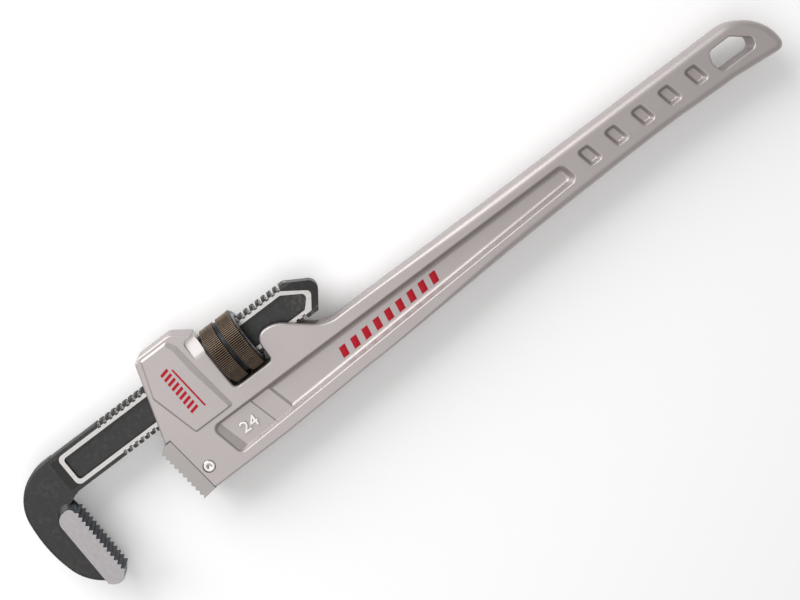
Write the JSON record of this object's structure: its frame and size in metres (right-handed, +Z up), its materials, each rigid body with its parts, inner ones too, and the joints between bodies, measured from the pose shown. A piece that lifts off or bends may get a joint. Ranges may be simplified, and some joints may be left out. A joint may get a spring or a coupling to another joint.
{
  "type": "pipe wrench",
  "caption": "Adjustable pipe wrench with a ribbed alloy handle, a sliding toothed hook jaw on a threaded shank, a knurled adjusting nut and a fixed toothed heel jaw.",
  "frame": {"origin": "on the surface the wrench lies on, under the middle of its outline", "axes": "+X along the handle from the jaws towards the handle's tip, +Y towards the back of the jaws, +Z up through the wrench's thickness"},
  "size_m": [0.6251, 0.1196, 0.045],
  "materials": {
    "cast_alloy": "bead-blasted satin casting",
    "dark_forging": "charcoal satin coating, ground bright on the rim and the head's sides",
    "bronzed_steel": "dark bronze-brown knurled steel",
    "grey_steel": "matte grey machined steel",
    "bright_steel": "bright turned steel",
    "spring_steel": "oiled spring steel"
  },
  "bodies": {
    "handle": {"handle": "cast_alloy", "heel_jaw": "grey_steel", "heel_jaw_pin": "bright_steel", "coil_spring": "spring_steel"},
    "rocker": {"flat_spring": "spring_steel", "spring_rivet": "bright_steel"},
    "hook_jaw": {"hook_jaw": "dark_forging"},
    "nut": {"adjusting_nut": "bronzed_steel"}
  },
  "joints": [
    {"name": "jaw_rock", "type": "hinge", "parent": "handle", "child": "rocker", "pos_m": [-0.1208, 0.025, 0.0225], "axis": [0, 0, 1], "range_deg": [-1.2, 1.2], "stiffness_Nm_per_rad": 40, "deforming": ["coil_spring"]},
    {"name": "jaw_slide", "type": "slide", "parent": "rocker", "child": "hook_jaw", "axis": [1, 0, 0], "range_m": [-0.017, 0.0708]},
    {"name": "nut_spin", "type": "hinge", "parent": "rocker", "child": "nut", "pos_m": [-0.1208, 0.025, 0.0225], "axis": [1, 0, 0], "range_deg": [-1206, 5020]}
  ],
  "couplings": [
    {"joint": "nut_spin", "follows": "jaw_slide", "rad_per_m": 1236.8}
  ]
}
